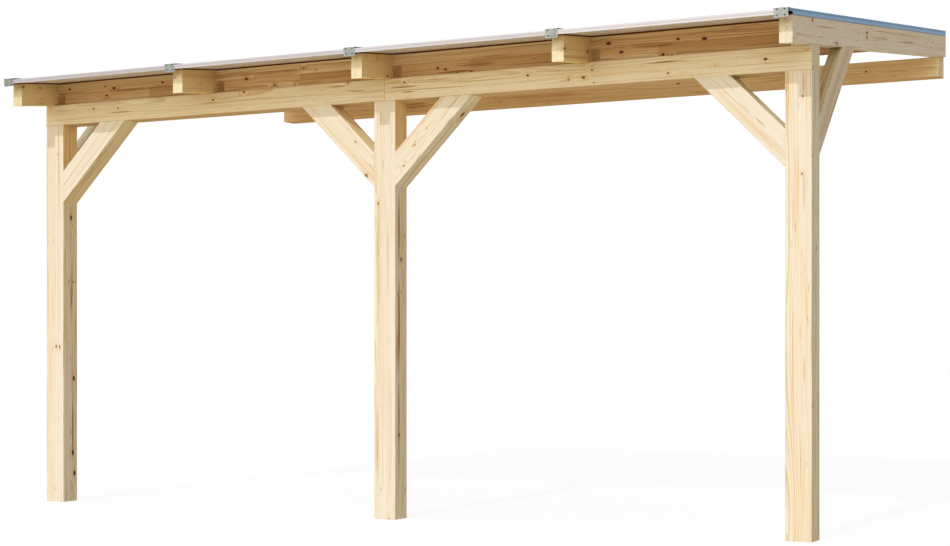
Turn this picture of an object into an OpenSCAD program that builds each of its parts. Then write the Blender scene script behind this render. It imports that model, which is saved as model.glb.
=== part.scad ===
// Lean-to terrace roof of laminated timber: posts and a front beam carry sloping rafters
// that run back to a beam on the wall, under a skin of cellular panels held by glazing bars.
// Frame: X along the wall from the centre line, Y = 0 on the wall with the roof in front of it
// at negative Y, Z = 0 at half the height of the wall beam's back face.

/* [Roof] */
// Distance between the centre lines of neighbouring rafters
bay_pitch = 1070; // [900:5:1300]
// Slope of the roof, rising towards the wall, in degrees
roof_pitch = 6.45; // [4:0.05:10]
// Distance from the wall to the front faces of the posts
post_to_wall = 2500; // [1800:10:3500]
// How far the rafters run past the front faces of the posts
rafter_overhang = 270; // [180:1:400]
// How far panels and glazing bars run past the front ends of the rafters
skin_overhang = 68; // [50:1:110]
// Gap left between the roof skin and the wall
wall_gap = 4; // [2:1:15]

/* [Timbers] */
// Height of the passage under the front beam
clear_height = 2080; // [1900:1:2400]
// Side of the square posts, and the width of the two beams
post_side = 120; // [100:2:160]
// Height of the front beam at its back edge
front_beam_h = 124; // [100:2:180]
// Height of the wall beam at its back edge
wall_beam_h = 120; // [100:2:180]
// How far each end of the wall beam stops short of the outer rafters' faces
wall_beam_inset = 12; // [2:1:30]
// Width of the rafters
rafter_w = 60; // [50:1:80]
// Height of the rafters, square to the roof
rafter_h = 118; // [90:1:160]
// Width of the planed edge chamfers on the timbers
edge_chamfer = 2; // [1:0.5:7]

/* [Braces] */
// Height of the front braces' section, across their slope
brace_h = 120; // [90:1:130]
// Distance along post and beam from their corner to the front braces' outer edges
brace_reach = 425; // [350:5:520]
// Height of the side braces' section, across their slope
side_brace_h = 120; // [90:1:130]
// Distance along the rafter from the post's back face to the side braces' outer edges
side_brace_reach = 553; // [450:1:700]

/* [Boards between the rafters] */
// Thickness of the boards that close the bays above the front beam
eaves_board_t = 20; // [15:1:28]
// How far the eaves boards stand behind the front beam's front face
eaves_board_setback = 30; // [15:1:60]
// Width of the notches in the eaves boards' lower corners, beside the rafters
eaves_notch_w = 50; // [30:1:80]
// Height of those notches
eaves_notch_h = 58; // [30:1:75]
// Thickness of the battens along the wall under the panels' back ends
wall_batten_t = 40; // [25:1:70]
// Height of the wall battens
wall_batten_h = 56; // [40:1:80]

/* [Roof panels] */
// Thickness of the cellular panels
panel_t = 16; // [10:1:25]
// Thickness of the panels' skins and ribs
panel_wall = 1; // [0.8:0.1:1.5]
// Number of cells across one panel
panel_cells = 32; // [16:1:48]
// Gap between neighbouring panels over a rafter
panel_gap = 20; // [16:1:26]
// Sheet thickness of the strips that close the panels' ends
strip_t = 1.5; // [1:0.1:2.5]
// Length of the strips' legs over and under the panels
strip_leg = 25; // [15:1:40]
// How far the front strips' faces hang below their lower legs, as a drip edge
strip_drip = 2.5; // [1:0.5:4]

/* [Glazing bars] */
// Thickness of the rubber bedding on the rafters
bedding_t = 5; // [4:0.5:10]
// Depth of the grooves along the rubber bedding
bedding_groove = 2; // [1:0.5:3]
// Height of the covers above the panels
cover_h = 6.5; // [5:0.5:15]
// Sheet thickness of the covers
cover_wall = 1.5; // [1.2:0.1:2]
// Width of the flat crown of the covers
cover_crown = 38; // [28:1:44]
// Height of the covers' upright lips
cover_lip = 3; // [2.5:0.5:4.5]
// Thickness of the webs that reach down from the covers between the panels
cover_web = 8; // [5:1:12]

/* [End caps] */
// Sheet thickness of the end caps
cap_t = 1.5; // [1:0.5:3]
// How far the end caps hang below the tops of the rafters
cap_drop = 13; // [4:1:20]
// How far the end caps reach past the covers' lips
cap_lap = 1; // [0.5:0.5:3]
// Length of the end caps' folded flanges
cap_flange = 25; // [15:1:35]

/* [Hidden] */

timber = [0.91, 0.80, 0.61];
board_timber = [0.80, 0.64, 0.42];
opal = [0.93, 0.95, 0.96];
strip_white = [0.96, 0.96, 0.95];
aluminium = [0.72, 0.75, 0.79];
black_rubber = [0.09, 0.09, 0.09];

bays = 4;
slope = tan(roof_pitch);
half_w = (bays * bay_pitch + rafter_w) / 2;

// Lines across the roof, measured from the wall
post_front = -post_to_wall;
post_back = post_front + post_side;
rafter_front = post_front - rafter_overhang;

// Heights: the rafters' underside is one sloping plane through the tops of both beams
function under_rafter(y) = wall_beam_h / 2 + slope * y;
front_beam_z = under_rafter(post_back) - front_beam_h;
ground_z = front_beam_z - clear_height;
rafter_rise = rafter_h / cos(roof_pitch);
rafter_top_z = under_rafter(0) + rafter_rise;

// Stations on the roof plane, along the slope from the wall
skin_front = (rafter_front - skin_overhang) / cos(roof_pitch);
skin_back = -wall_gap / cos(roof_pitch);
bedding_front = rafter_front / cos(roof_pitch);

// Heights over the rafters' tops, square to the roof
panel_top = bedding_t + panel_t;
bar_top = panel_top + cover_h;
skirt_foot = panel_top - panel_t / 2;

// Distances from a rafter's centre line: a cap's edge beside a panel, and an edge bar's outer face
cap_edge = rafter_w / 2 + cap_lap;
skirt_x = rafter_w / 2 + cover_wall;
function rafter_x(i) = (i - 1 - bays / 2) * bay_pitch;

// A bay's clear sides, between the faces of its two rafters
function bay_left(i) = rafter_x(i) + rafter_w / 2;
function bay_right(i) = rafter_x(i + 1) - rafter_w / 2;

function unit(v) = v / norm(v);
function chamfered(points, c) = let (n = len(points)) [
    for (i = [0 : n - 1])
        for (other = [points[(i + n - 1) % n], points[(i + 1) % n]])
            points[i] + c * unit(other - points[i])
];
function rectangle(w, h) = [[0, 0], [w, 0], [w, h], [0, h]];

// A section drawn in Y and Z, drawn out along X
module along_x(x0, x1) {
    translate([x0, 0, 0]) rotate([90, 0, 90]) linear_extrude(x1 - x0) children();
}

// A section drawn in X and Z, drawn out along Y
module along_y(y0, y1) {
    translate([0, y1, 0]) rotate([90, 0, 0]) linear_extrude(y1 - y0) children();
}

// The roof plane: Y along the slope, Z square to it, zero on the rafters' tops at the wall
module on_roof(x) {
    translate([x, 0, rafter_top_z]) rotate([roof_pitch, 0, 0]) children();
}

module post(x) {
    color(timber) translate([x - post_side / 2, post_front, ground_z])
        linear_extrude(clear_height) polygon(chamfered(rectangle(post_side, post_side), edge_chamfer));
}

// Beam with its top planed to the slope of the rafters
module beam(x0, x1, y_front, bottom) {
    y_back = y_front + post_side;
    section = [
        [y_front, bottom], [y_back, bottom],
        [y_back, under_rafter(y_back)], [y_front, under_rafter(y_front)]
    ];
    color(timber) along_x(x0, x1) polygon(chamfered(section, edge_chamfer));
}

// Rafter with both ends cut plumb
module rafter(i) {
    slack = rafter_h;
    color(timber) intersection() {
        on_roof(rafter_x(i)) along_y(bedding_front - slack, slack) translate([-rafter_w / 2, -rafter_h])
            polygon(chamfered(rectangle(rafter_w, rafter_h), edge_chamfer));
        along_x(-half_w, half_w) polygon([
            [rafter_front, ground_z], [0, ground_z],
            [0, rafter_top_z + slack], [rafter_front, rafter_top_z + slack]
        ]);
    }
}

// Straight brace in the corner between a post at X = 0 and a beam over it, both faces flush
module corner_brace() {
    length = brace_reach * sqrt(2);
    color(timber) intersection() {
        translate([0, 0, -brace_reach]) rotate([0, -45, 0]) along_x(-brace_h, length + brace_h)
            polygon(chamfered(rectangle(post_side, brace_h), edge_chamfer));
        translate([0, 0, -brace_reach]) cube([brace_reach, post_side, brace_reach]);
    }
}

// side is 1 where the brace leans away to +X, and -1 to -X
module front_brace(post_x, side) {
    translate([post_x + side * post_side / 2, post_front, front_beam_z])
        mirror([side < 0 ? 1 : 0, 0, 0]) corner_brace();
}

// Brace from the back of an end post up to the rafter over it, flush with the rafter's faces
module side_brace(i) {
    head = post_back + side_brace_reach;
    foot_z = under_rafter(head) - side_brace_reach;
    length = side_brace_reach * sqrt(2);
    color(timber) translate([rafter_x(i) - rafter_w / 2, 0, 0]) intersection() {
        translate([0, post_back, foot_z]) rotate([45, 0, 0]) along_y(-side_brace_h, length + side_brace_h)
            polygon(chamfered(rectangle(rafter_w, side_brace_h), edge_chamfer));
        along_x(0, rafter_w) polygon([
            [post_back, foot_z], [head, under_rafter(head)], [post_back, under_rafter(post_back)]
        ]);
    }
}

// Upright length of board along X; low and high are its heights above the rafters' undersides
module board(x0, x1, y0, y1, low, high) {
    along_x(x0, x1) polygon([
        [y0, under_rafter(y0) + low], [y1, under_rafter(y1) + low],
        [y1, under_rafter(y1) + high], [y0, under_rafter(y0) + high]
    ]);
}

// Board that stands on the front beam, with notches where the rafters are tied down to the beam
module eaves_board(i) {
    y0 = post_front + eaves_board_setback;
    y1 = y0 + eaves_board_t;
    slack = eaves_board_t;
    color(board_timber) difference() {
        board(bay_left(i), bay_right(i), y0, y1, 0, rafter_rise);
        for (x = [bay_left(i), bay_right(i)])
            board(x - eaves_notch_w, x + eaves_notch_w, y0 - slack, y1 + slack, -slack, eaves_notch_h);
    }
}

// Battens on the wall, one in each bay
module wall_battens() {
    color(timber) for (i = [1 : bays])
        board(bay_left(i), bay_right(i), -wall_batten_t, 0, rafter_rise - wall_batten_h, rafter_rise);
}

// Cellular panel between two glazing bars: two skins joined by upright ribs
module roof_panel(i) {
    width = bay_pitch - panel_gap;
    cell_pitch = (width - panel_wall) / panel_cells;
    color(opal) on_roof(rafter_x(i) + panel_gap / 2) along_y(skin_front + strip_t, skin_back - strip_t)
        translate([0, bedding_t]) difference() {
            square([width, panel_t]);
            for (cell = [0 : panel_cells - 1])
                translate([panel_wall + cell * cell_pitch, panel_wall])
                    square([cell_pitch - panel_wall, panel_t - 2 * panel_wall]);
        }
}

// Channels over the front and back ends of a panel, between the end caps, the front one with a drip edge
module edge_strips(i) {
    width = bay_pitch - 2 * cap_edge;
    height = panel_t + 2 * strip_t;
    leg = strip_t + strip_leg;
    color(strip_white) on_roof(rafter_x(i) + cap_edge) for (back = [0, 1])
        translate([0, back ? skin_back : skin_front, bedding_t - strip_t]) mirror([0, back, 0])
            along_x(0, width) {
                difference() {
                    square([leg, height]);
                    translate([strip_t, strip_t]) square([leg, panel_t]);
                }
                if (!back) translate([0, -strip_drip]) square([strip_t, strip_drip + strip_t]);
            }
}

// Rubber bedding on a rafter, with a groove under each panel's edge
module bedding(i) {
    groove_w = rafter_w / 8;
    color(black_rubber) on_roof(rafter_x(i)) along_y(bedding_front, skin_back) difference() {
        translate([-rafter_w / 2, 0]) square([rafter_w, bedding_t]);
        for (side = [-1, 1])
            translate([side * rafter_w / 4 - groove_w / 2, bedding_t - bedding_groove])
                square([groove_w, bedding_groove * 2]);
    }
}

// One side of a cover's sheet: outside from the lip's foot up to the crown, inside from there down
function cover_outside(side) = [
    [side * rafter_w / 2, 0], [side * rafter_w / 2, cover_lip], [side * cover_crown / 2, cover_h]
];
function cover_inside(side) = [
    [side * (cover_crown - cover_wall) / 2, cover_h - cover_wall],
    [side * (rafter_w / 2 - cover_wall), cover_lip - cover_wall / 2],
    [side * (rafter_w / 2 - cover_wall), 0]
];
function reversed(list) = [for (i = [len(list) - 1 : -1 : 0]) list[i]];

// Web of a cover, down between the panels to the bedding
web_outline = [
    [cover_web / 2, cover_h - cover_wall], [cover_web / 2, -panel_t],
    [-cover_web / 2, -panel_t], [-cover_web / 2, cover_h - cover_wall]
];

// Cover over the joint of two panels, with a lip on each of them
module middle_cover(i) {
    color(aluminium) on_roof(rafter_x(i)) along_y(skin_front, skin_back) translate([0, panel_top])
        polygon(concat(
            cover_outside(-1), reversed(cover_outside(1)),
            reversed(cover_inside(1)), web_outline, cover_inside(-1)
        ));
}

// Cover on an edge of the roof, with one lip, a square shoulder and a skirt down the panel's side.
// The skirt goes on down to the rafter's top where there is a rafter below it.
// side is 1 on the right-hand edge and -1 on the left-hand edge.
module edge_cover(i, side) {
    shoulder = skirt_x - cover_wall;
    color(aluminium) on_roof(rafter_x(i)) mirror([side < 0 ? 1 : 0, 0, 0]) {
        along_y(skin_front, skin_back) translate([0, panel_top]) polygon(concat(
            cover_outside(-1),
            [for (corner = [[skirt_x, bar_top], [skirt_x, skirt_foot], [shoulder, skirt_foot]])
                corner - [0, panel_top]],
            [[shoulder, cover_h - cover_wall]], web_outline, cover_inside(-1)
        ));
        along_y(bedding_front, skin_back) translate([shoulder, 0]) square([cover_wall, panel_top]);
    }
}

// Plate over the front end of a bar, out to edge on its right, with a flange folded back over the crown
module cap_plate(edge) {
    translate([-cap_edge, skin_front - cap_t, -cap_drop])
        cube([cap_edge + edge, cap_t, cap_drop + bar_top + cap_t]);
    translate([-cover_crown / 2, skin_front - cap_t, bar_top])
        cube([cover_crown, cap_t + cap_flange, cap_t]);
}

module middle_cap(i) {
    color(aluminium) on_roof(rafter_x(i)) cap_plate(cap_edge);
}

// Cap on an edge bar, with a second flange along the skirt
module edge_cap(i, side) {
    color(aluminium) on_roof(rafter_x(i)) mirror([side < 0 ? 1 : 0, 0, 0]) {
        cap_plate(skirt_x + cap_t);
        translate([skirt_x, skin_front - cap_t, skirt_foot])
            cube([cap_t, cap_t + cap_flange, bar_top + cap_t - skirt_foot]);
    }
}

left_x = -half_w + post_side / 2;
right_x = half_w - post_side / 2;

post(left_x);  // left_post
post(0);  // middle_post
post(right_x);  // right_post
beam(-half_w, 0, post_front, front_beam_z);  // front_beam_left
beam(0, half_w, post_front, front_beam_z);  // front_beam_right
beam(-half_w + wall_beam_inset, half_w - wall_beam_inset, -post_side, -wall_beam_h / 2);  // wall_beam
for (i = [1 : bays + 1])
    rafter(i);
front_brace(left_x, 1);  // brace_left
front_brace(0, -1);  // brace_middle_left
front_brace(0, 1);  // brace_middle_right
front_brace(right_x, -1);  // brace_right
side_brace(1);  // side_brace_left
side_brace(bays + 1);  // side_brace_right
wall_battens();
for (i = [1 : bays]) {
    eaves_board(i);
    roof_panel(i);
    edge_strips(i);
}
for (i = [1 : bays + 1]) {
    bedding(i);
    union() {
        if (i == 1) edge_cover(i, -1);
        else if (i == bays + 1) edge_cover(i, 1);
        else middle_cover(i);
    }
    union() {
        if (i == 1) edge_cap(i, -1);
        else if (i == bays + 1) edge_cap(i, 1);
        else middle_cap(i);
    }
}
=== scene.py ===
"""Looks of the lean-to terrace roof: laminated spruce, opal cellular panels, aluminium glazing bars."""
import math
import random

import bmesh
import bpy
from mathutils import Matrix, Vector


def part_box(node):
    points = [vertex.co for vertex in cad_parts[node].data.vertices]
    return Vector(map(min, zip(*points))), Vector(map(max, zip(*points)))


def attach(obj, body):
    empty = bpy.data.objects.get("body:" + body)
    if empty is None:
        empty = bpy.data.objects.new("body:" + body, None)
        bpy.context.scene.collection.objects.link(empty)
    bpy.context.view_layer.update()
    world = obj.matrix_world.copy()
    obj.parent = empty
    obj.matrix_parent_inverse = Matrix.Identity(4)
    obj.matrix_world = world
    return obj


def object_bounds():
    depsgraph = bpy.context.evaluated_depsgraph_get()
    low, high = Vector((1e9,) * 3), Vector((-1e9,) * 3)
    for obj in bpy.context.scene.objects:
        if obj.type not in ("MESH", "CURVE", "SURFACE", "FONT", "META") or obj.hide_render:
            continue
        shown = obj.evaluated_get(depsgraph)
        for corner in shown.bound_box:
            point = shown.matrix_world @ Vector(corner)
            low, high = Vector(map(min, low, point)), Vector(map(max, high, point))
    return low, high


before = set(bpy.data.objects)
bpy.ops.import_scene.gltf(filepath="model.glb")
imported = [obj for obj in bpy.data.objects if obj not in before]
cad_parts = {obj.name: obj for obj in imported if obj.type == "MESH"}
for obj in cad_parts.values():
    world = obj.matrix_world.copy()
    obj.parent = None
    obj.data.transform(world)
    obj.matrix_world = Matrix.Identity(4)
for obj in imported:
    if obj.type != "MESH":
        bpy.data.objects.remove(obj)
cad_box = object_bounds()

# Sizes shared with the part's source, in metres
BAY_PITCH = 1.070
RAFTERS = 5
ROOF_PITCH = math.radians(6.45)
RAFTER_FOOT_Z = 0.060
RAFTER_TOP_Z = RAFTER_FOOT_Z + 0.118 / math.cos(ROOF_PITCH)
SKIN_FRONT = -2.838 / math.cos(ROOF_PITCH)
SKIN_BACK = -0.004 / math.cos(ROOF_PITCH)
CAP_T = 0.0015
BAR_TOP = 0.0275
SECTION = 0.120
RAFTER_W = 0.060
RAFTER_FRONT = -2.770
BOARD_FRONT = -2.470
BOARD_T = 0.020
BEAM_FRONT = -2.500
BEDDING_T = 0.005
PANEL_W = 1.05
PANEL_CHAMBERS = 32
GROUND_Z = cad_box[0][2]

# Trim made here: brackets, seals, the covers' lips (X and height over the rafter) and screws (radius, height)
BRACKET_LEG = 0.047
BRACKET_W = 0.076
BRACKET_T = 0.0025
BRACKET_BEND = 0.005
BRACKET_Y = -2.430
SEAL_LIP = 0.0025
SEAL_BULGE = 0.4
LIP_SECTION = ((0.0300, 0.0212), (0.0309, 0.0212), (0.0309, 0.0227), (0.0320, 0.0232), (0.0324, 0.0250),
               (0.0319, 0.0280), (0.0302, 0.0289), (0.0278, 0.0282), (0.0270, 0.0250), (0.0300, 0.0240))
BRACKET_SCREW = (0.0035, 0.0025)
BRACKET_SCREWS_AT = (0.45, 0.8)
CAP_SCREW = (0.0030, 0.0022)
CAP_SCREWS_X = (-0.017, 0.017)
CAP_SCREWS_Z = (-0.002, 0.0235)
COVER_SCREW = (0.0045, 0.0035)
COVER_SCREWS = 8
SCREW_TURNS = 36
SCREW_LOBES = 6
FLOOR_HALF = 60.0

# The photograph's view: a level camera, with the picture shifted instead of tilted
CAMERA_AT = (4.5875, -10.3999, -1.5376)
CAMERA_YAW = 0.5115
CAMERA_LENS = 69.615
CAMERA_SHIFT = (0.0670, 0.0740)

# Light: a low sun square to the front, under a sky that is bright in front and dim behind. What gloss mirrors
# of the back is blue
SUN_ELEVATION = math.radians(36.4)
SUN_STRENGTH = 1.30
SUN_ANGLE = math.radians(0.6)
SKY_FRONT = (3.10, 3.10, 3.05)
SKY_SIDE = (0.155, 0.172, 0.178)
SKY_BACK = (0.34, 0.33, 0.28)
SKY_BACK_MIRRORED = (0.335, 0.485, 0.665)
SKY_ABOVE = (0.80, 0.86, 0.95)
GROUND_FRONT = (0.80, 0.62, 0.38)
GROUND_SIDE = (0.58, 0.43, 0.28)
WHITE = (1.0, 1.0, 1.0)

# Contrast of the print, as points of a curve over linear light
PRINT_CURVE = ((0.09, 0.072), (0.22, 0.208), (0.36, 0.375), (0.55, 0.59), (0.75, 0.80), (0.88, 0.93))

# Directions of grain and faces
ALONG = Vector((1, 0, 0))
DEEP = Vector((0, 1, 0))
UP = Vector((0, 0, 1))
UPHILL = Vector((0, math.cos(ROOF_PITCH), math.sin(ROOF_PITCH)))

# Tints and sizes of the wood's own features
FINGER_TINT = (0.86, 0.79, 0.70)
FLAME_TINT = (0.70, 0.44, 0.20)
LATE_TINT = (0.74, 0.60, 0.42)
LINE_TINT = (0.70, 0.55, 0.38)
PENCIL_TINT = (0.66, 0.52, 0.36)
FIBRE_DIM = (0.84, 0.82, 0.78)
FIBRE_BRIGHT = (1.16, 1.18, 1.20)
STAIN_TINT = (0.50, 0.32, 0.17)
HALO_TINT = (0.60, 0.35, 0.15)
FLECK_TINT = (0.24, 0.13, 0.06)
KNOT_RIM = (0.22, 0.09, 0.035)
KNOT_CORE = (0.035, 0.012, 0.005)
GLUE_TINT = (0.35, 0.22, 0.11)
SEAM_TINT = (0.42, 0.28, 0.15)
KNOT_GRID = (7.0, 22.0, 22.0)
KNOT_SQUEEZE = (0.62, 1.0, 1.0)
FLECK_GRID = (5.0, 40.0, 40.0)
FLECK_SQUEEZE = 0.06
NO_KNOT = 99.0
NO_FINGER = 1000.0

rng = random.Random(7)


class Graph:
    """Adds nodes to a node tree; arguments may be sockets or plain values."""

    def __init__(self, tree):
        self.tree = tree

    def node(self, kind, inputs=None, **settings):
        """A new node with its settings, and its inputs by name or index."""
        made = self.tree.nodes.new(kind)
        for name, value in settings.items():
            setattr(made, name, value)
        for name, value in (inputs or {}).items():
            self.feed(made.inputs[name], value)
        return made

    def feed(self, socket, value):
        """Link a socket's value, or set a plain one."""
        if isinstance(value, bpy.types.NodeSocket):
            self.tree.links.new(value, socket)
        else:
            socket.default_value = value

    def math(self, operation, a, b=0.0, c=0.0, clamp=False):
        made = self.node("ShaderNodeMath", {0: a, 1: b, 2: c}, operation=operation, use_clamp=clamp)
        return made.outputs[0]

    def vector(self, operation, a, b=(0.0, 0.0, 0.0)):
        made = self.node("ShaderNodeVectorMath", {0: a, 1: b}, operation=operation)
        return made.outputs["Value" if operation in ("LENGTH", "DOT_PRODUCT") else "Vector"]

    def split(self, vector):
        return self.node("ShaderNodeSeparateXYZ", {0: vector}).outputs

    def join(self, x, y, z):
        return self.node("ShaderNodeCombineXYZ", {0: x, 1: y, 2: z}).outputs[0]

    def place(self):
        """The point in the part's own frame."""
        return self.node("ShaderNodeTexCoord").outputs["Object"]

    def over_rafters(self, place):
        """Height of a point over the rafters' tops."""
        _, y, z = self.split(place)
        return self.math("SUBTRACT", z, self.math("MULTIPLY_ADD", y, math.tan(ROOF_PITCH), RAFTER_TOP_Z))

    def band(self, value, low, high, soft):
        """1 between two values and 0 outside them, with soft edges."""
        return self.math("MULTIPLY", self.smooth(value, low, low + soft),
                         self.smooth(value, high, high + soft, 1.0, 0.0))

    def surface(self, shader, color, roughness, relief, strength, distance):
        """Feed a Principled shader with a colour, a roughness and a relief."""
        bump = self.node("ShaderNodeBump", {"Strength": strength, "Distance": distance, "Height": relief})
        self.feed(shader.inputs["Base Color"], color)
        self.feed(shader.inputs["Roughness"], roughness)
        self.feed(shader.inputs["Normal"], bump.outputs[0])

    def noise(self, vector, seed, stretch, detail=2.0, roughness=0.5):
        """Noise from 0 to 1, with its own frequency along each axis."""
        placed = self.vector("MULTIPLY", vector, stretch)
        made = self.node("ShaderNodeTexNoise", noise_dimensions="4D", inputs={
            "Vector": placed, "W": seed, "Scale": 1.0, "Detail": detail, "Roughness": roughness})
        return made.outputs["Fac"]

    def smooth(self, value, low, high, to_low=0.0, to_high=1.0):
        """A soft step between two values; low may lie above high."""
        made = self.node("ShaderNodeMapRange", {0: value, 1: low, 2: high, 3: to_low, 4: to_high},
                         interpolation_type="SMOOTHSTEP")
        return made.outputs[0]

    def mix(self, factor, a, b, blend="MIX"):
        made = self.node("ShaderNodeMix", data_type="RGBA", blend_type=blend)
        for name, value in (("Factor_Float", factor), ("A_Color", a), ("B_Color", b)):
            socket = next(s for s in made.inputs if s.identifier == name)
            if isinstance(value, tuple) and len(value) == 3:
                value = (*value, 1.0)
            self.feed(socket, value)
        return next(s for s in made.outputs if s.identifier == "Result_Color")


def wood_group():
    """Laminated spruce. Vector has X along the grain and Y across the lamellas, in metres.

    Turned is 1 on the faces that look across the lamellas, and 0 on the others.
    """
    tree = bpy.data.node_groups.new("laminated_spruce", "ShaderNodeTree")
    face = tree.interface
    for name, kind in (("Vector", "Vector"), ("Seed", "Float"), ("Lamella", "Float"), ("Ring", "Float"),
                       ("Figure", "Float"), ("Streaks", "Float"), ("Knots", "Float"), ("Placed", "Float"),
                       ("Stain", "Float"), ("Finger", "Float"), ("Turned", "Float"), ("Pale", "Color"),
                       ("Deep", "Color")):
        face.new_socket(name, in_out="INPUT", socket_type="NodeSocket" + kind)
    for name, kind in (("Color", "Color"), ("Roughness", "Float"), ("Height", "Float")):
        face.new_socket(name, in_out="OUTPUT", socket_type="NodeSocket" + kind)
    g = Graph(tree)
    given = g.node("NodeGroupInput").outputs
    place, seed, lamella, figure = given["Vector"], given["Seed"], given["Lamella"], given["Figure"]
    x, y, z = g.split(place)

    # Each lamella has its own tint and its own pith, and the lower ones change timber at the finger joint
    index = g.math("FLOOR", g.math("DIVIDE", y, lamella))
    joined = g.math("MULTIPLY", g.math("LESS_THAN", index, -0.5), g.math("GREATER_THAN", x, given["Finger"]))
    dice = g.node("ShaderNodeTexWhiteNoise", {"Vector": g.join(index, seed, 3.7)}, noise_dimensions="3D")
    throw_a, throw_b, throw_c = g.split(dice.outputs["Color"])
    lamella_seed = g.math("ADD", seed, g.math("MULTIPLY", index, 5.3))
    piece_seed = g.math("ADD", lamella_seed, g.math("MULTIPLY", joined, 2.9))
    in_lamella = g.math("SUBTRACT", y, g.math("MULTIPLY", g.math("ADD", index, 0.5), lamella))

    # Knots: small ellipsoids, one in most cells of a stretched grid, beside those placed one by one
    to_knot, knot_dice = scatter(g, place, KNOT_GRID, piece_seed)
    knot_size = g.math("MULTIPLY_ADD", g.math("POWER", knot_dice[0], 3.0), 0.0080, 0.0020)
    knot_size = g.math("MULTIPLY", knot_size, given["Knots"])
    from_knot = g.vector("LENGTH", g.vector("MULTIPLY", to_knot, KNOT_SQUEEZE))
    knot_ratio = g.math("MINIMUM", g.math("DIVIDE", from_knot, knot_size), given["Placed"])
    knot = g.smooth(knot_ratio, 0.70, 1.25, 1.0, 0.0)
    knot_core = g.smooth(knot_ratio, 0.60, 1.05, 1.0, 0.0)
    around = g.math("POWER", 2.718, g.math("MULTIPLY", g.math("MULTIPLY", knot_ratio, knot_ratio), -0.11))

    # Growth rings about a wandering pith, pushed aside by the knots
    sway_y = g.math("MULTIPLY_ADD", g.noise(place, piece_seed, (0.55, 0.0, 0.0), 1.0), 0.07, -0.035)
    sway_z = g.math("MULTIPLY_ADD", g.noise(place, g.math("ADD", piece_seed, 31.0), (0.5, 0.0, 0.0), 1.0),
                    0.08, -0.04)
    pith_y = g.math("ADD", g.math("MULTIPLY_ADD", throw_a, 0.10, -0.05), sway_y)
    pith_z = g.math("ADD", g.math("MULTIPLY_ADD", throw_b, 0.14, -0.07), sway_z)
    from_pith = g.join(0.0, g.math("SUBTRACT", in_lamella, pith_y), g.math("SUBTRACT", z, pith_z))
    away = g.vector("LENGTH", from_pith)
    ripple = g.math("MULTIPLY_ADD", g.noise(place, piece_seed, (2.5, 20.0, 20.0), 2.0), 0.008, -0.004)
    pushed = g.math("MULTIPLY", around, 0.0085)
    ring = g.math("DIVIDE", g.math("ADD", g.math("ADD", away, ripple), pushed), given["Ring"])
    ring_part = g.math("FRACT", ring)
    ring_dice = g.node("ShaderNodeTexWhiteNoise", {"W": g.math("FLOOR", ring)}, noise_dimensions="1D")
    late = g.math("MULTIPLY", g.smooth(ring_part, 0.25, 0.9), g.smooth(ring_part, 0.92, 1.0, 1.0, 0.0))
    late = g.math("MULTIPLY", late, g.math("MULTIPLY_ADD", ring_dice.outputs["Value"], 0.7, 0.3))

    # Slow tints, heartwood flames, resin flecks and fibres
    tint = g.noise(place, piece_seed, (0.8, 24.0, 24.0), 3.0, 0.55)
    flame = g.smooth(g.noise(place, g.math("ADD", piece_seed, 11.0), (0.9, 26.0, 26.0), 2.0), 0.58, 0.78)
    line = g.smooth(g.noise(place, g.math("ADD", piece_seed, 23.0), (1.1, 75.0, 75.0), 2.0), 0.58, 0.73)
    pencil = g.smooth(g.noise(place, g.math("ADD", piece_seed, 37.0), (1.8, 150.0, 150.0), 1.0), 0.62, 0.74)
    fibre = g.noise(place, seed, (16.0, 420.0, 420.0), 3.0, 0.6)
    brush = g.noise(place, g.math("ADD", seed, 43.0), (4.0, 170.0, 170.0), 3.0)
    brush = g.smooth(brush, 0.30, 0.66, 0.25, 1.25)
    to_fleck, fleck_dice = scatter(g, place, FLECK_GRID, seed)
    in_face = g.join(FLECK_SQUEEZE, g.math("MULTIPLY_ADD", given["Turned"], -0.85, 1.0),
                     g.math("MULTIPLY_ADD", given["Turned"], 0.85, 0.15))
    from_fleck = g.vector("LENGTH", g.vector("MULTIPLY", to_fleck, in_face))
    fleck_size = g.math("MULTIPLY_ADD", fleck_dice[0], 0.0018, 0.0010)
    fleck = g.math("MULTIPLY", g.smooth(g.math("DIVIDE", from_fleck, fleck_size), 0.3, 1.0, 1.0, 0.0),
                   g.math("LESS_THAN", fleck_dice[1], given["Streaks"]))

    color = g.mix(g.smooth(tint, 0.32, 0.72), given["Pale"], given["Deep"])
    color = g.mix(g.math("MULTIPLY", throw_c, 0.55), color, given["Deep"])
    color = g.mix(joined, color, FINGER_TINT, "MULTIPLY")
    color = g.mix(g.math("MULTIPLY", flame, 0.45), color, FLAME_TINT)
    color = g.mix(g.math("MULTIPLY", late, figure, clamp=True), color, LATE_TINT, "MULTIPLY")
    color = g.mix(g.math("MULTIPLY", line, figure, clamp=True), color, LINE_TINT, "MULTIPLY")
    color = g.mix(g.math("MULTIPLY", pencil, figure, clamp=True), color, PENCIL_TINT, "MULTIPLY")
    color = g.mix(0.5, color, g.mix(fibre, FIBRE_DIM, FIBRE_BRIGHT), "MULTIPLY")
    color = g.mix(g.math("MULTIPLY", given["Stain"], brush, clamp=True), color, STAIN_TINT, "MULTIPLY")
    color = g.mix(g.math("MULTIPLY", around, 0.30), color, HALO_TINT)
    color = g.mix(g.math("MULTIPLY", fleck, 0.7), color, FLECK_TINT)
    color = g.mix(g.math("MULTIPLY", knot, 0.90), color, g.mix(knot_core, KNOT_RIM, KNOT_CORE))

    joint = g.math("ABSOLUTE", g.math("SUBTRACT", g.math("ABSOLUTE", in_lamella),
                                      g.math("MULTIPLY", lamella, 0.5)))
    glue = g.smooth(joint, 0.0003, 0.0010, 1.0, 0.0)
    color = g.mix(g.math("MULTIPLY", glue, 0.35), color, GLUE_TINT)

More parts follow.
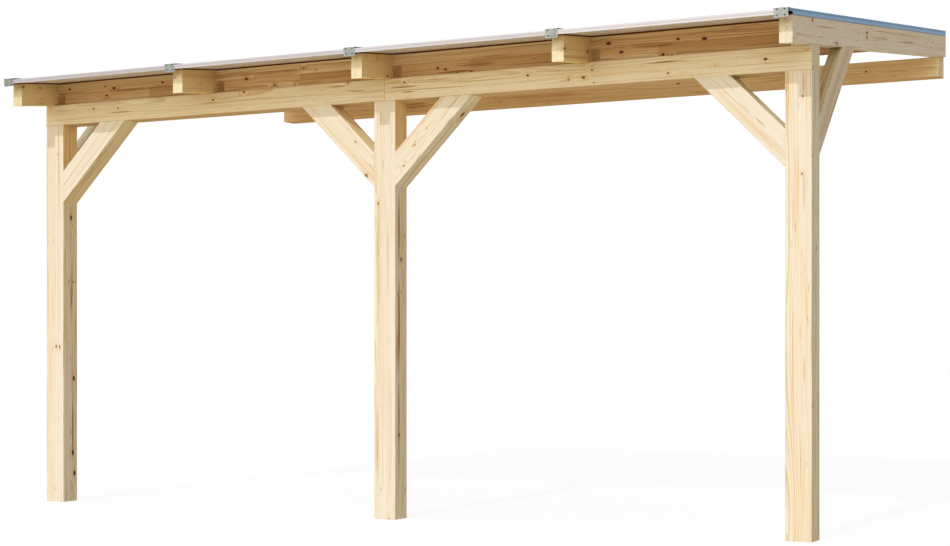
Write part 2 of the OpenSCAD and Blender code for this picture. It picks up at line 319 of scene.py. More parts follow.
    rough = g.math("MULTIPLY_ADD", fibre, 0.16, g.math("MULTIPLY_ADD", late, -0.12, 0.58))
    raised = g.math("ADD", g.math("MULTIPLY", fibre, 0.5), g.math("MULTIPLY", late, 0.5))
    sunk = g.math("ADD", g.math("MULTIPLY", glue, 0.8), g.math("MULTIPLY", knot, 0.4))
    height = g.math("SUBTRACT", raised, sunk)
    done = g.node("NodeGroupOutput")
    g.feed(done.inputs["Color"], color)
    g.feed(done.inputs["Roughness"], rough)
    g.feed(done.inputs["Height"], height)
    return tree


def scatter(g, place, grid, seed):
    """One point in each cell of a stretched grid: the way to it, and three random values for it."""
    stretched = g.vector("MULTIPLY", place, grid)
    cells = g.node("ShaderNodeTexVoronoi", voronoi_dimensions="4D", inputs={
        "Vector": stretched, "W": seed, "Scale": 1.0})
    away = g.vector("DIVIDE", g.vector("SUBTRACT", stretched, cells.outputs["Position"]), grid)
    return away, g.split(cells.outputs["Color"])


def new_material(name):
    """A material with its Principled shader, and a graph to build on."""
    material = bpy.data.materials.new(name)
    material.use_nodes = True
    shader = material.node_tree.nodes["Principled BSDF"]
    return material, shader, Graph(material.node_tree)


WOOD = wood_group()

# Tints of the timbers, pale and deep. Besides the wood's own tone they carry painted light: the front beams,
# the boards, the wall beam, the battens and the right side brace have deeper, warmer tints that paint the
# shade they stand in, the inner rafters a warm yellow that paints the warm light under the roof, and the
# edge rafter a paler, bluer tint that paints the light on its open side
PALE = (0.825, 0.82, 0.735)
DEEP_TONE = (0.78, 0.705, 0.535)
LEFT_PALE = (0.835, 0.855, 0.815)
LEFT_DEEP = (0.785, 0.735, 0.595)
BEAM_PALE = (0.70, 0.635, 0.50)
BEAM_DEEP = (0.67, 0.57, 0.39)
BRACE_PALE = (0.83, 0.84, 0.79)
BRACE_DEEP = (0.80, 0.77, 0.65)
RAFTER_PALE = (0.97, 0.89, 0.62)
RAFTER_DEEP = (0.95, 0.83, 0.49)
EDGE_RAFTER_PALE = (0.95, 0.98, 0.93)
EDGE_RAFTER_DEEP = (0.92, 0.93, 0.83)
BOARD_PALE = (0.76, 0.635, 0.425)
BOARD_DEEP = (0.66, 0.495, 0.285)
WALL_PALE = (0.82, 0.74, 0.56)
WALL_DEEP = (0.79, 0.68, 0.47)
BATTEN_PALE = (0.67, 0.51, 0.35)
BATTEN_DEEP = (0.64, 0.46, 0.30)
SIDE_PALE = (0.72, 0.68, 0.59)
SIDE_DEEP = (0.64, 0.56, 0.42)
LEFT_BEAM_TONE = 0.97
BOARD_TONES = (0.84, 0.92, 0.92, 0.92)
# Tones of the white strips, darker towards the left: painted shade
STRIP_PAINTED_SHADE = (0.79, 0.89, 0.96, 1.07)

# Tints of single faces, which stand in for the photograph's own light there
RAFTER_END = (0.72, 0.72, 0.81)
FIRST_END = (0.62, 0.62, 0.63)
EDGE_RAFTER_END = (0.70, 0.63, 0.53)
EDGE_UNDER = (0.76, 0.87, 1.02)
BOARD_LOW = (0.985, 0.965, 0.92)
BOARD_HIGHS = ((1.13, 1.20, 1.34), (1.14, 1.22, 1.40), (1.13, 1.22, 1.40), (1.03, 1.03, 1.08))
BOARD_TOP = (1.14, 1.22, 1.40)
BOARD_SEAM = (-0.158, -0.152)
BOARD_TOP_FADE = (-0.126, -0.106)
WALL_LEFT = (0.94, 0.87, 0.82)
WALL_LEFT_FADE = (0.45, -0.25)
SHADE_SIDE = (0.91, 0.95, 0.96)
BEAM_END = (1.02, 1.10, 1.20)
# Painted warm light on the left side brace's right face
PAINTED_WARM_LIGHT = (1.05, 0.95, 0.80)
# Painted shade on the right side brace's front face, behind the right post
PAINTED_SHADE_BEHIND_POST = (0.86, 0.80, 0.60)
UNDER_BRACE = (1.0, 1.09, 1.17)
LEFT_UNDER = (0.97, 0.98, 0.92)
OVER_MIDDLE = (1.12, 0.98, 0.75)
OVER_RIGHT = (0.93, 0.86, 0.70)
POCKET = (1.03, 0.84, 0.56)
POCKET_FADE = (-0.595, -0.555)

# Finger joints of the boards' lower lamellas, from the boards' left ends
FINGER_JOINTS = (0.63, 0.52, 0.43, 0.34)

# The larger knots: place on the timber's face, and radius
KNOTS = {
    "eaves_board_1": ((-1.720, BOARD_FRONT, -0.148, 0.008), (-1.392, BOARD_FRONT, -0.140, 0.007),
                      (-1.782, BOARD_FRONT, -0.135, 0.004), (-1.770, BOARD_FRONT, -0.185, 0.006),
                      (-2.030, BOARD_FRONT, -0.135, 0.006)),
    "eaves_board_2": ((-0.850, BOARD_FRONT, -0.160, 0.007), (-0.495, BOARD_FRONT, -0.126, 0.004)),
    "eaves_board_3": ((0.284, BOARD_FRONT, -0.186, 0.006), (0.328, BOARD_FRONT, -0.196, 0.006),
                      (0.472, BOARD_FRONT, -0.217, 0.006), (0.395, BOARD_FRONT, -0.216, 0.004)),
    "eaves_board_4": ((1.192, BOARD_FRONT, -0.138, 0.008), (1.257, BOARD_FRONT, -0.183, 0.007),
                      (1.664, BOARD_FRONT, -0.153, 0.008), (1.536, BOARD_FRONT, -0.145, 0.006),
                      (1.463, BOARD_FRONT, -0.210, 0.006), (1.507, BOARD_FRONT, -0.218, 0.005)),
    "front_beam_left": ((-1.669, BEAM_FRONT, -0.263, 0.004), (-1.041, BEAM_FRONT, -0.260, 0.005),
                        (-0.844, BEAM_FRONT, -0.232, 0.005), (-0.212, BEAM_FRONT, -0.228, 0.004)),
    "front_beam_right": ((0.114, BEAM_FRONT, -0.249, 0.004), (0.788, BEAM_FRONT, -0.262, 0.005),
                         (1.078, BEAM_FRONT, -0.292, 0.006), (1.121, BEAM_FRONT, -0.260, 0.004),
                         (1.499, BEAM_FRONT, -0.302, 0.004), (1.960, BEAM_FRONT, -0.273, 0.006)),
    "rafter_1": ((-2.110, -2.757, -0.150, 0.006),),
    "rafter_3": ((0.030, -2.522, -0.214, 0.006),),
    "rafter_4": ((1.100, -2.762, -0.195, 0.006), (1.100, -2.503, -0.174, 0.007)),
    "rafter_5": ((2.170, -1.609, -0.043, 0.008), (2.170, -1.609, -0.065, 0.007),
                 (2.170, -2.487, -0.115, 0.007), (2.170, -2.116, -0.166, 0.007)),
    "brace_middle_right": ((0.401, -2.430, -0.417, 0.010), (0.171, BEAM_FRONT, -0.561, 0.004),
                           (0.239, BEAM_FRONT, -0.481, 0.003), (0.109, BEAM_FRONT, -0.659, 0.004)),
    "left_post": ((-2.050, -2.433, -0.841, 0.009), (-2.050, -2.411, -1.732, 0.009),
                  (-2.050, -2.419, -2.144, 0.010), (-2.050, -2.405, -2.259, 0.010),
                  (-2.100, BEAM_FRONT, -1.554, 0.006), (-2.076, BEAM_FRONT, -1.558, 0.006)),
    "middle_post": ((0.060, -2.439, -1.120, 0.007), (-0.037, BEAM_FRONT, -0.841, 0.005),
                    (0.060, -2.459, -1.994, 0.007)),
    "right_post": ((2.131, BEAM_FRONT, -0.449, 0.004), (2.127, BEAM_FRONT, -0.790, 0.004)),
    "brace_middle_left": ((-0.105, BEAM_FRONT, -0.698, 0.0075),),
}

# The larger resin stains: middle on the timber's face, half length, half width, and depth of colour
STAINS = {
    "left_post": ((-2.050, -2.429, -1.250, 0.30, 0.010, 0.8), (-2.050, -2.420, -2.000, 0.26, 0.010, 0.9)),
    "middle_post": ((0.060, -2.460, -0.980, 0.26, 0.014, 1.2), (0.060, -2.460, -1.450, 0.34, 0.013, 1.7),
                    (0.060, -2.462, -1.960, 0.36, 0.013, 1.2), (0.060, -2.478, -1.580, 0.16, 0.016, 0.8),
                    (-0.036, BEAM_FRONT, -1.110, 0.38, 0.015, 0.6),
                    (-0.040, BEAM_FRONT, -2.030, 0.26, 0.012, 0.7)),
    "right_post": ((2.135, BEAM_FRONT, -0.870, 0.13, 0.009, 0.5),
                   (2.135, BEAM_FRONT, -0.390, 0.07, 0.012, 0.4),
                   (2.118, BEAM_FRONT, -1.488, 0.05, 0.006, 0.8),
                   (2.136, BEAM_FRONT, -1.655, 0.08, 0.006, 1.0)),
    "front_beam_left": ((-0.277, BEAM_FRONT, -0.242, 0.08, 0.006, 1.0),
                        (-0.159, BEAM_FRONT, -0.273, 0.06, 0.005, 1.0),
                        (-1.060, BEAM_FRONT, -0.275, 0.10, 0.006, 0.8),
                        (-1.655, BEAM_FRONT, -0.286, 0.12, 0.006, 0.7)),
    "front_beam_right": ((0.105, BEAM_FRONT, -0.271, 0.11, 0.005, 1.1),
                         (0.134, BEAM_FRONT, -0.297, 0.05, 0.005, 1.0),
                         (1.480, BEAM_FRONT, -0.250, 0.14, 0.006, 0.8)),
    "wall_beam": ((-1.160, -SECTION, -0.010, 0.16, 0.045, 0.6),),
    "rafter_5": ((2.170, -1.374, -0.036, 0.22, 0.009, 0.7), (2.170, -0.857, 0.019, 0.25, 0.008, 0.9),
                 (2.170, -2.300, -0.118, 0.20, 0.007, 0.6)),
    "brace_right": ((1.865, BEAM_FRONT, -0.485, 0.05, 0.004, 0.8),
                    (1.935, BEAM_FRONT, -0.551, 0.05, 0.004, 0.8),
                    (1.786, BEAM_FRONT, -0.376, 0.07, 0.004, 0.8)),
    "brace_middle_right": ((0.168, BEAM_FRONT, -0.550, 0.04, 0.004, 1.0),),
    "eaves_board_1": ((-1.600, BOARD_FRONT, -0.165, 0.20, 0.008, 1.0),),
    "eaves_board_3": ((0.385, BOARD_FRONT, -0.210, 0.15, 0.007, 1.3),
                      (0.620, BOARD_FRONT, -0.150, 0.20, 0.006, 0.7),
                      (0.490, BOARD_FRONT, -0.184, 0.14, 0.018, 0.6)),
    "eaves_board_4": ((1.420, BOARD_FRONT, -0.163, 0.14, 0.016, 0.7),),
}


def shade(color, tone):
    """A tint made lighter or darker, with its alpha."""
    return (*(tone * v for v in color), 1.0)


def wood(node, grain, across, lamella, phase=0.0, ring=0.0050, figure=0.5, streaks=0.18, knots=0.5,
         pale=PALE, deep=DEEP_TONE, tone=1.0, butt_joint=False, end_tone=None, face_tones=(), finger=None):
    """Spruce for one timber: grain and lamella directions, lamella thickness, and where its joints fall.

    ring is the width of the growth rings, figure the strength of the grain, streaks the share of cells with
    a resin streak and knots the size of the scattered knots. tone scales both tints. butt_joint darkens
    the millimetres beside the joint on the centre line, where two lengths meet. end_tone tints the front
    end: partly its end grain, partly painted light and shade on that end. face_tones gives directions with
    the tint of the faces that look that way, each for the whole face or for the part along one axis; these
    tints are painted light and shade on those faces. finger is the X of a finger joint.
    """
    material, shader, g = new_material("spruce_" + node)
    low, high = (Vector(corner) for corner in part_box(node))
    grain, across = grain.normalized(), across.normalized()
    turn = Matrix((grain, across, grain.cross(across)))
    shift = turn @ ((low + high) / -2) + Vector((rng.uniform(-20, 20), phase * lamella, 0))
    coords = g.place()
    at = g.node("ShaderNodeMapping", {
        "Vector": coords, "Location": shift, "Rotation": turn.to_euler()}).outputs[0]
    near = NO_KNOT
    for *spot, radius in KNOTS.get(node, ()):
        apart = g.vector("SUBTRACT", at, tuple(turn @ Vector(spot) + shift))
        away = g.vector("LENGTH", g.vector("MULTIPLY", apart, KNOT_SQUEEZE))
        near = g.math("MINIMUM", near, g.math("DIVIDE", away, radius))
    stain = 0.0
    for *spot, half_length, half_width, depth in STAINS.get(node, ()):
        apart = g.vector("SUBTRACT", at, tuple(turn @ Vector(spot) + shift))
        away = g.vector("LENGTH", g.vector("DIVIDE", apart, (half_length, half_width, half_width)))
        stain = g.math("MAXIMUM", stain, g.smooth(away, 0.25, 1.0, depth, 0.0))
    normal = g.node("ShaderNodeTexCoord").outputs["Normal"]
    turned = g.math("GREATER_THAN", g.math("ABSOLUTE", g.vector("DOT_PRODUCT", normal, tuple(across))), 0.7)
    split_x = NO_FINGER if finger is None else (turn @ Vector((finger, 0, 0)) + shift).x
    look = g.node("ShaderNodeGroup", node_tree=WOOD)
    for name, value in (("Vector", at), ("Seed", rng.uniform(0, 50)), ("Lamella", lamella), ("Ring", ring),
                        ("Figure", figure), ("Streaks", streaks), ("Knots", knots), ("Placed", near),
                        ("Stain", stain), ("Finger", split_x), ("Turned", turned),
                        ("Pale", shade(pale, tone)), ("Deep", shade(deep, tone))):
        g.feed(look.inputs[name], value)
    color = look.outputs["Color"]
    if butt_joint:
        seam = g.smooth(g.math("ABSOLUTE", g.split(coords)[0]), 0.0006, 0.0040, 0.55, 0.0)
        color = g.mix(seam, color, SEAM_TINT)
    if end_tone:
        end = g.smooth(g.split(coords)[1], RAFTER_FRONT + 0.0002, RAFTER_FRONT + 0.0010, 1.0, 0.0)
        color = g.mix(end, color, end_tone, "MULTIPLY")
    for facing, tint, *part in face_tones:
        share = g.smooth(g.vector("DOT_PRODUCT", normal, tuple(facing.normalized())), 0.6, 0.9)
        for axis, start, full in part:
            share = g.math("MULTIPLY", share, g.smooth(g.split(coords)[axis], start, full))
        color = g.mix(share, color, tint, "MULTIPLY")
    g.surface(shader, color, look.outputs["Roughness"], look.outputs["Height"], 0.5, 0.0006)
    shader.inputs["Specular IOR Level"].default_value = 0.3
    dress(node, material)


def dress(node, material):
    """Give a carried-over solid its finish."""
    slots = bpy.data.objects[node].data.materials
    slots.clear()
    slots.append(material)


def aluminium():
    """Mill-finish extrusion: fine die lines along the bar, cloudy sheen, and a painted shade band along the
    covers' sides.
    """
    material, shader, g = new_material("aluminium_extrusion")
    place = g.place()
    lines = g.noise(place, 2.0, (900.0, 6.0, 900.0), 2.0)
    cloud = g.noise(place, 5.0, (9.0, 4.0, 9.0), 3.0)
    color = g.mix(cloud, (0.52, 0.55, 0.55), (0.64, 0.67, 0.67))
    color = g.mix(g.math("MULTIPLY", lines, 0.25), color, (0.47, 0.49, 0.50))
    # Painted shade: a darker band along the covers' sides, below the crown
    painted_shade_band = g.band(g.over_rafters(place), 0.0155, 0.0215, 0.0020)
    color = g.mix(painted_shade_band, color, (0.66, 0.68, 0.70), "MULTIPLY")
    roughness = g.math("MULTIPLY_ADD", cloud, 0.12, g.math("MULTIPLY_ADD", lines, 0.1, 0.26))
    g.surface(shader, color, roughness, lines, 0.15, 0.0003)
    shader.inputs["Metallic"].default_value = 1.0
    return material


def galvanised():
    """Zinc-coated sheet of the end caps: pale spangle over a dull grey."""
    material, shader, g = new_material("galvanised_sheet")
    place = g.place()
    spangle = g.node("ShaderNodeTexVoronoi", {"Vector": place, "Scale": 190.0, "Randomness": 1.0})
    tone = g.split(spangle.outputs["Color"])[0]
    cloud = g.noise(place, 12.0, (60.0, 60.0, 60.0), 2.0)
    color = g.mix(tone, (0.21, 0.235, 0.245), (0.39, 0.42, 0.425))
    color = g.mix(g.math("MULTIPLY", cloud, 0.4), color, (0.33, 0.35, 0.355))
    g.surface(shader, color, g.math("MULTIPLY_ADD", tone, 0.2, 0.36), tone, 0.2, 0.0003)
    shader.inputs["Metallic"].default_value = 1.0
    return material


def opal_panel():
    """Opal polycarbonate: faint ribs show through a milky, slightly glossy skin, painted lighter underneath
    than on top.
    """
    material, shader, g = new_material("opal_polycarbonate")
    place = g.place()
    x = g.split(place)[0]
    rib = g.math("ABSOLUTE", g.math("SINE", g.math("MULTIPLY", x, math.pi * PANEL_CHAMBERS / PANEL_W)))
    rib = g.smooth(rib, 0.0, 0.14, 1.0, 0.0)
    cloud = g.noise(place, 1.0, (3.0, 1.0, 3.0), 3.0)
    color = g.mix(cloud, (0.86, 0.88, 0.90), (0.92, 0.93, 0.94))
    color = g.mix(g.math("MULTIPLY", rib, 0.5), color, (0.95, 0.96, 0.97))
    # The top faces are darker than the underside: the underside's lighter colour is painted light, for
    # daylight coming through the panel
    on_top = g.vector("DOT_PRODUCT", g.node("ShaderNodeTexCoord").outputs["Normal"], tuple(UP))
    skin = g.mix(g.smooth(on_top, 0.6, 0.9), color, (0.72, 0.735, 0.75), "MULTIPLY")
    g.surface(shader, skin, g.math("MULTIPLY_ADD", cloud, 0.12, 0.30), rib, 0.2, 0.0004)
    shader.inputs["Specular IOR Level"].default_value = 0.2
    through = g.node("ShaderNodeBsdfTranslucent", {"Color": color})
    blend = g.node("ShaderNodeMixShader", {0: 0.35, 1: shader.outputs[0], 2: through.outputs[0]})
    g.feed(material.node_tree.nodes["Material Output"].inputs["Surface"], blend.outputs[0])
    return material


def white_strip(i, tone):
    """Satin white plastic channel: a fine drawn texture, and a shallow groove along its face with painted
    shade in it; tone scales the whole strip's lightness, as painted light and shade.
    """
    material, shader, g = new_material(f"white_plastic_strip_{i}")
    place = g.place()
    groove = g.band(g.over_rafters(place), 0.0060, 0.0150, 0.0015)
    drawn = g.noise(place, 4.0, (5.0, 600.0, 600.0), 2.0)
    cloud = g.noise(place, 8.0, (7.0, 7.0, 7.0), 3.0)
    color = g.mix(cloud, shade((0.49, 0.487, 0.520), tone), shade((0.55, 0.542, 0.580), tone))
    # Painted shade in the groove
    color = g.mix(groove, color, (0.84, 0.83, 0.84), "MULTIPLY")
    relief = g.math("MULTIPLY_ADD", drawn, 0.2, g.math("MULTIPLY", groove, -1.0))
    g.surface(shader, color, g.math("MULTIPLY_ADD", drawn, 0.15, 0.35), relief, 0.3, 0.0005)
    return material


def rubber(name, clean, dusty):
    """Matt rubber with dust in its surface."""
    material, shader, g = new_material(name)
    place = g.place()
    grit = g.noise(place, 3.0, (300.0, 300.0, 300.0), 3.0)
    dust = g.noise(place, 6.0, (12.0, 5.0, 12.0), 3.0)
    color = g.mix(g.smooth(dust, 0.4, 0.8), clean, dusty)
    g.surface(shader, color, g.math("MULTIPLY_ADD", grit, 0.15, 0.78), grit, 0.3, 0.0003)
    shader.inputs["Specular IOR Level"].default_value = 0.02
    return material


def steel():
    """Stainless screw heads, dark, with turning marks."""
    material, shader, g = new_material("stainless_screw")
    place = g.place()
    turned = g.noise(place, 9.0, (700.0, 700.0, 700.0), 2.0)
    color = g.mix(turned, (0.09, 0.09, 0.095), (0.17, 0.17, 0.17))
    g.surface(shader, color, g.math("MULTIPLY_ADD", turned, 0.2, 0.3), turned, 0.2, 0.0002)
    shader.inputs["Metallic"].default_value = 1.0
    return material


def passivated():
    """Yellow-passivated zinc of the angle brackets: cloudy gold-brown with a rubbed sheen."""
    material, shader, g = new_material("passivated_zinc")
    place = g.place()
    cloud = g.noise(place, 15.0, (70.0, 70.0, 70.0), 3.0)
    grain = g.noise(place, 17.0, (600.0, 600.0, 600.0), 2.0)
    color = g.mix(g.smooth(cloud, 0.3, 0.7), (0.66, 0.43, 0.17), (0.76, 0.53, 0.23))
    g.surface(shader, color, g.math("MULTIPLY_ADD", cloud, 0.2, 0.42), grain, 0.2, 0.0002)
    shader.inputs["Metallic"].default_value = 0.4
    return material


def rafter_x(i):
    """X of rafter i, counted from the left."""
    return (i - (RAFTERS + 1) / 2) * BAY_PITCH


def on_roof(i):
    """Frame of glazing bar i: Y along the slope from the wall, Z square to the roof."""
    return Matrix.Translation((rafter_x(i), 0, RAFTER_TOP_Z)) @ Matrix.Rotation(ROOF_PITCH, 4, "X")


def add_screw(bm, place, radius, height):
    """A domed head on its washer flange, with a six-lobed recess; its axis is the frame's Z."""
    def ring(size, lift, lobes=0.0):
        points = []
        for k in range(SCREW_TURNS):
            angle = 2 * math.pi * k / SCREW_TURNS
            r = size * (1 + lobes * math.cos(SCREW_LOBES * angle))
            points.append(bm.verts.new(place @ Vector((r * math.cos(angle), r * math.sin(angle), lift))))
        return points

    rings = [
        ring(radius * 1.25, 0), ring(radius * 1.25, height * 0.22), ring(radius * 1.02, height * 0.30),
        ring(radius * 0.98, height * 0.62), ring(radius * 0.80, height * 0.88), ring(radius * 0.58, height),
        ring(radius * 0.44, height, 0.13), ring(radius * 0.42, height * 0.45, 0.13),
    ]
    for below, above in zip(rings, rings[1:]):
        for k in range(SCREW_TURNS):
            n = (k + 1) % SCREW_TURNS
            bm.faces.new((below[k], below[n], above[n], above[k]))
    bm.faces.new(list(reversed(rings[0])))
    bm.faces.new(rings[-1])


def screw_row(name, places, screw, material):
    """One piece that holds a row of screw heads."""
    bm = bmesh.new()
    for place in places:
        add_screw(bm, place, *screw)
    add_piece(name, bm, material)


def dress_timbers():
    """Wood for every timber; each call draws its seeds in turn."""
    # pocket paints warm bounce light on the posts' right faces, above the brace and under the beam
    pocket = (ALONG, POCKET, (2, *POCKET_FADE))
    for node in ("left_post", "middle_post"):
        wood(node, UP, DEEP, SECTION / 2, figure=0.85, streaks=0.24, pale=LEFT_PALE, deep=LEFT_DEEP,
             face_tones=(pocket,))
    wood("right_post", UP, DEEP, SECTION / 2, figure=0.85, streaks=0.24, face_tones=((ALONG, SHADE_SIDE),))
    for node, tone in (("front_beam_left", LEFT_BEAM_TONE), ("front_beam_right", 1.0)):
        wood(node, ALONG, UP, SECTION / 3, phase=0.5, figure=0.75, streaks=0.26, pale=BEAM_PALE,
             deep=BEAM_DEEP, tone=tone, butt_joint=True, face_tones=((ALONG, BEAM_END),))
    wood("wall_beam", ALONG, UP, SECTION / 3, phase=0.5, figure=0.8, streaks=0.26, knots=0.7, pale=WALL_PALE,
         deep=WALL_DEEP, face_tones=((-DEEP, WALL_LEFT, (0, *WALL_LEFT_FADE)),))
    wood("wall_battens", ALONG, DEEP, 0.2, phase=0.5, figure=0.7, pale=BATTEN_PALE, deep=BATTEN_DEEP)
    for i in range(1, RAFTERS):
        wood(f"rafter_{i}", UPHILL, ALONG, RAFTER_W / 2, ring=0.0065, pale=RAFTER_PALE, deep=RAFTER_DEEP,
             end_tone=FIRST_END if i == 1 else RAFTER_END)
    wood(f"rafter_{RAFTERS}", UPHILL, ALONG, RAFTER_W / 2, ring=0.0065, figure=0.6, streaks=0.38,
         pale=EDGE_RAFTER_PALE, deep=EDGE_RAFTER_DEEP, end_tone=EDGE_RAFTER_END,
         face_tones=((-UP, EDGE_UNDER),))
    for node, lean, tint in (("brace_left", 1, LEFT_UNDER), ("brace_middle_left", -1, OVER_MIDDLE),
                             ("brace_middle_right", 1, UNDER_BRACE), ("brace_right", -1, OVER_RIGHT)):
        wood(node, Vector((lean, 0, 1)), DEEP, SECTION / 2, figure=0.8, streaks=0.28, pale=BRACE_PALE,
             deep=BRACE_DEEP, face_tones=((Vector((1, 0, -lean)), tint),))
    wood("side_brace_left", DEEP + UP, ALONG, SECTION / 2, face_tones=((ALONG, PAINTED_WARM_LIGHT),))
    wood("side_brace_right", DEEP + UP, ALONG, SECTION / 2, figure=0.8, pale=SIDE_PALE, deep=SIDE_DEEP,
         face_tones=((UP - DEEP, PAINTED_SHADE_BEHIND_POST),))
    # Board face tints: the lower lamella a little darker and warmer; the upper lamella's and the top's
    # lighter, bluer tints are painted light
    under, over = BOARD_SEAM
    for i, (tone, high, joint) in enumerate(zip(BOARD_TONES, BOARD_HIGHS, FINGER_JOINTS), 1):
        lamellas = ((-DEEP, BOARD_LOW, (2, over, under)), (-DEEP, high, (2, under, over)),
                    (-DEEP, BOARD_TOP, (2, *BOARD_TOP_FADE)))
        wood(f"eaves_board_{i}", ALONG, UP, SECTION / 2, ring=0.0075, figure=1.0, pale=BOARD_PALE,
             deep=BOARD_DEEP, tone=tone, finger=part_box(f"eaves_board_{i}")[0][0] + joint,
             face_tones=lamellas)


def dress_roof():
    """Finishes of the roof's solids, with the covers' lips and the seals."""
    metal, zinc, panel = aluminium(), galvanised(), opal_panel()
    # The seals' deep orange brown is painted shade: it stands for the dark gaps along the rafters and over
    # the boards
    seal_and_gap_shade = rubber("bedding_rubber", (0.140, 0.042, 0.001), (0.190, 0.064, 0.002))
    lip = rubber("lip_rubber", (0.022, 0.025, 0.028), (0.050, 0.053, 0.056))
    for i in range(1, RAFTERS + 1):
        dress(f"bar_cover_{i}", metal)
        dress(f"end_cap_{i}", zinc)
        dress(f"bedding_{i}", seal_and_gap_shade)
        add_lips(i, lip)
    for i in range(1, RAFTERS):
        dress(f"roof_panel_{i}", panel)
        dress(f"edge_strips_{i}", white_strip(i, STRIP_PAINTED_SHADE[i - 1]))
        add_seal(i, seal_and_gap_shade)


def add_seal(i, material):
    """Foam tape between eaves board i and the panel over it, with its front bulging a little; it also stands
    as painted shade for the dark gap over the board.
    """
    length = BAY_PITCH - RAFTER_W
    along = BOARD_FRONT / math.cos(ROOF_PITCH)
    middle, half = (BEDDING_T - SEAL_LIP) / 2, (BEDDING_T + SEAL_LIP) / 2
    section = [(along + BOARD_T, BEDDING_T), (along + BOARD_T, 0.0), (along, 0.0)]
    section += [(along - half * SEAL_BULGE * math.sin(t), middle - half * math.cos(t))
                for t in (math.pi * k / 10 for k in range(11))]
    place = on_roof(i) @ Matrix.Translation((RAFTER_W / 2, 0, 0))
    bm = bmesh.new()
    sweep(bm, *([place @ Vector((x, y, z)) for y, z in section] for x in (0, length)))
    add_piece(f"eaves_seal_{i}", bm, material)


def add_lips(i, material):
    """Rubber lips clipped to the edges of bar cover i, on the sides that have a panel."""
    bm = bmesh.new()
    for side in (-1, 1):
        if 1 <= i + (side - 1) / 2 < RAFTERS:
            sweep(bm, *([on_roof(i) @ Vector((side * x, y, z)) for x, z in LIP_SECTION]
                        for y in (SKIN_FRONT, SKIN_BACK)))
    add_piece(f"cover_lips_{i}", bm, material)


def sweep(bm, near, far):
    """A closed bar between two like sections."""
    near, far = ([bm.verts.new(point) for point in section] for section in (near, far))
    for k in range(len(near)):
        n = (k + 1) % len(near)
        bm.faces.new((near[k], near[n], far[n], far[k]))
    bm.faces.new(list(reversed(near)))
    bm.faces.new(far)


def add_piece(name, bm, material):
    """A new piece from a mesh under construction, riding on the one body."""
    bmesh.ops.recalc_face_normals(bm, faces=bm.faces)
    mesh = bpy.data.meshes.new(name)
    bm.to_mesh(mesh)
    bm.free()
    mesh.materials.append(material)
    piece = bpy.data.objects.new(name, mesh)
    bpy.context.scene.collection.objects.link(piece)
    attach(piece, "root")


def add_bracket(bm, place, side):
    """Bent angle between a rafter's face and the beam's top; side is the way that its foot points in X."""
    leg, sheet, bend, half = BRACKET_LEG, BRACKET_T, BRACKET_BEND, BRACKET_W / 2

    def arc(radius):
        return [(bend - radius * math.cos(t), bend - radius * math.sin(t))
                for t in (math.pi / 2 * k / 6 for k in range(7))]

    outside = [(0, leg)] + arc(bend) + [(leg, 0)]
    inside = [(leg, sheet)] + list(reversed(arc(bend - sheet))) + [(sheet, leg)]
    section = outside + inside
    sweep(bm, *([place @ Vector((side * x, y, z)) for x, z in section] for y in (-half, half)))
    to_side = Matrix.Rotation(side * math.pi / 2, 4, "Y")
    for y in (-half / 2, half / 2):
        for along in (part * leg for part in BRACKET_SCREWS_AT):
            add_screw(bm, place @ Matrix.Translation((side * sheet, y, along)) @ to_side, *BRACKET_SCREW)
            add_screw(bm, place @ Matrix.Translation((side * along, y, sheet)), *BRACKET_SCREW)


def add_brackets():
    """An angle bracket in each notch of the eaves boards, which ties the rafter down to the front beam."""
    material = passivated()
    z = RAFTER_FOOT_Z + math.tan(ROOF_PITCH) * BRACKET_Y
    for i in range(1, RAFTERS):
        bm = bmesh.new()
        for k, side in ((i, 1), (i + 1, -1)):
            foot = (rafter_x(k) + side * RAFTER_W / 2, BRACKET_Y, z)
            add_bracket(bm, Matrix.Translation(foot) @ Matrix.Rotation(ROOF_PITCH, 4, "X"), side)
        add_piece(f"rafter_brackets_{i}", bm, material)


def add_screws():
    """Four screws in each end cap, and a row along the crown of each bar cover."""
    material = steel()
    facing_out = Matrix.Rotation(math.pi / 2, 4, "X")
    length = SKIN_BACK - SKIN_FRONT
    for i in range(1, RAFTERS + 1):
        cap = [on_roof(i) @ Matrix.Translation((x, SKIN_FRONT - CAP_T, z)) @ facing_out
               for x in CAP_SCREWS_X for z in CAP_SCREWS_Z]
        screw_row(f"cap_screws_{i}", cap, CAP_SCREW, material)
        crown = [on_roof(i) @ Matrix.Translation((0, SKIN_FRONT + length * (k + 0.5) / COVER_SCREWS, BAR_TOP))
                 for k in range(COVER_SCREWS)]
        screw_row(f"cover_screws_{i}", crown, COVER_SCREW, material)


def add_floor():
    """Plain pale floor: mostly self-lit, so that shadows stay faint, and it throws no light back up."""
    material = bpy.data.materials.new("pale_floor")
    material.use_nodes = True
    tree = material.node_tree
    tree.nodes.clear()
    g = Graph(tree)
    place = g.place()
    color = g.mix(g.noise(place, 0.0, (0.6, 0.6, 0.6), 3.0), (0.97, 0.97, 0.97), WHITE)
    diffuse = g.node("ShaderNodeBsdfDiffuse", {"Color": color})
    glow = g.node("ShaderNodeEmission", {"Color": color, "Strength": 1.0})
    blend = g.node("ShaderNodeMixShader", {0: 0.85, 1: diffuse.outputs[0], 2: glow.outputs[0]})
    out = g.node("ShaderNodeOutputMaterial")
    g.feed(out.inputs["Surface"], blend.outputs[0])
    corners = [(x * FLOOR_HALF, y * FLOOR_HALF, 0) for x, y in ((-1, -1), (1, -1), (1, 1), (-1, 1))]
    mesh = bpy.data.meshes.new("floor")
    mesh.from_pydata(corners, [], [(0, 1, 2, 3)])
    mesh.materials.append(material)
    floor = bpy.data.objects.new("floor", mesh)
    floor.location.z = GROUND_Z
    floor.visible_diffuse = floor.visible_glossy = floor.visible_transmission = False
    bpy.context.scene.collection.objects.link(floor)


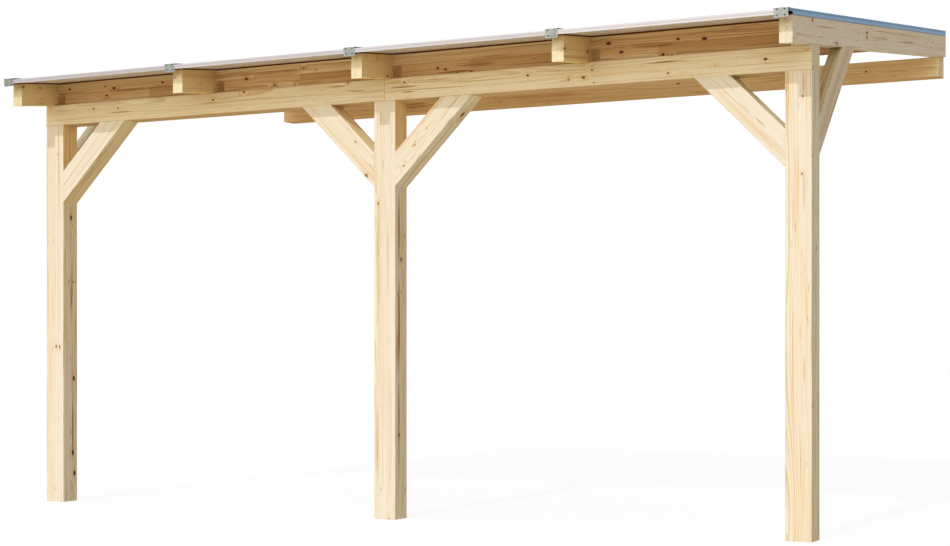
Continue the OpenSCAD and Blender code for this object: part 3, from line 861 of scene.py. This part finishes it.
def add_light():
    """A sun, and a studio sky that the camera itself sees as plain white."""
    sun = bpy.data.lights.new("sun", "SUN")
    sun.energy = SUN_STRENGTH
    sun.angle = SUN_ANGLE
    lamp = bpy.data.objects.new("sun", sun)
    lamp.rotation_euler = (math.pi / 2 - SUN_ELEVATION, 0, 0)
    bpy.context.scene.collection.objects.link(lamp)

    world = bpy.data.worlds.new("studio_sky")
    world.use_nodes = True
    world.node_tree.nodes.clear()
    g = Graph(world.node_tree)
    _, y, z = g.split(g.node("ShaderNodeTexCoord").outputs["Generated"])
    sky = g.mix(g.smooth(y, -1.0, -0.5), SKY_FRONT, SKY_SIDE)
    back = g.mix(g.node("ShaderNodeLightPath").outputs["Is Glossy Ray"], SKY_BACK, SKY_BACK_MIRRORED)
    sky = g.mix(g.smooth(y, 0.45, 0.8), sky, back)
    sky = g.mix(g.smooth(z, 0.35, 0.8), sky, SKY_ABOVE)
    ground = g.mix(g.smooth(y, -0.75, -0.05), GROUND_FRONT, GROUND_SIDE)
    light = g.mix(g.smooth(z, -0.04, 0.02), ground, sky)
    seen = g.mix(g.node("ShaderNodeLightPath").outputs["Is Camera Ray"], light, WHITE)
    backdrop = g.node("ShaderNodeBackground", {"Color": seen, "Strength": 1.0})
    out = g.node("ShaderNodeOutputWorld")
    g.feed(out.inputs["Surface"], backdrop.outputs[0])
    bpy.context.scene.world = world


def grade():
    """Plain display transform, with the contrast of the photograph's print."""
    view = bpy.context.scene.view_settings
    view.view_transform = "Standard"
    view.use_curve_mapping = True
    curve = view.curve_mapping.curves[3]
    for x, y in PRINT_CURVE:
        curve.points.new(x, y)
    view.curve_mapping.update()


def add_camera():
    """The photograph's view."""
    lens = bpy.data.cameras.new("photo_view")
    lens.sensor_width = 36.0
    lens.lens = CAMERA_LENS
    lens.shift_x, lens.shift_y = CAMERA_SHIFT
    lens.clip_end = 300.0
    camera = bpy.data.objects.new("photo_view", lens)
    camera.location = CAMERA_AT
    camera.rotation_euler = (math.pi / 2, 0, CAMERA_YAW)
    bpy.context.scene.collection.objects.link(camera)
    bpy.context.scene.camera = camera


add_camera()
add_light()
grade()
add_floor()
dress_timbers()
dress_roof()
add_screws()
add_brackets()
